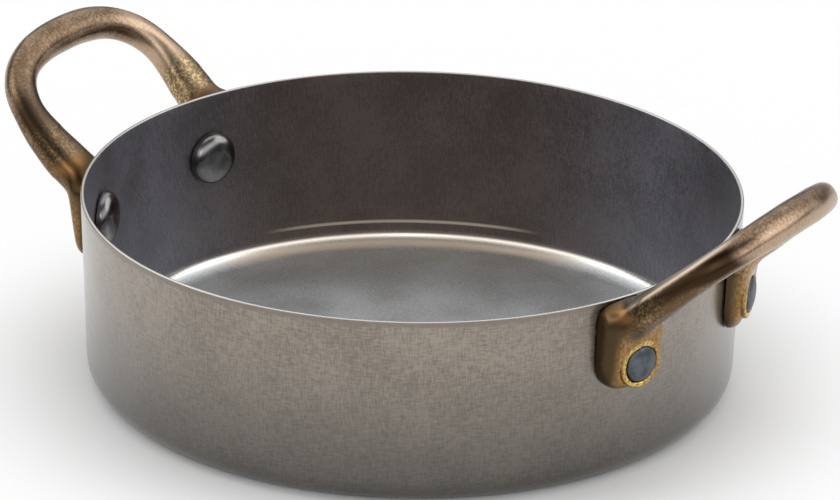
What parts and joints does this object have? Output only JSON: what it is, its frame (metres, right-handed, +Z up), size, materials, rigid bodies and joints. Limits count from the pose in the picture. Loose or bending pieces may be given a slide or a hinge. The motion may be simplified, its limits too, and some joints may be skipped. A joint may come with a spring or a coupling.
{
  "type": "mini casserole dish",
  "caption": "Small round sheet-steel casserole pan with an upright wall, a bare rim and cast brass loop handles riveted to opposite sides, for single servings.",
  "frame": {"origin": "centre of the underside of the base, on the surface that the dish stands on", "axes": "+X from the pan's centre through the middle of the right handle, +Z up out of the pan's mouth"},
  "size_m": [0.1628, 0.12, 0.0519],
  "materials": {
    "pan_steel": "satin, finely brushed",
    "handle_brass": "aged, dull gloss",
    "rivet_steel": "polished"
  },
  "bodies": {
    "root": {"pan_body": "pan_steel", "handle_right": "handle_brass", "handle_left": "handle_brass", "rivet_right_front": "rivet_steel", "rivet_right_back": "rivet_steel", "rivet_left_front": "rivet_steel", "rivet_left_back": "rivet_steel"}
  },
  "joints": []
}
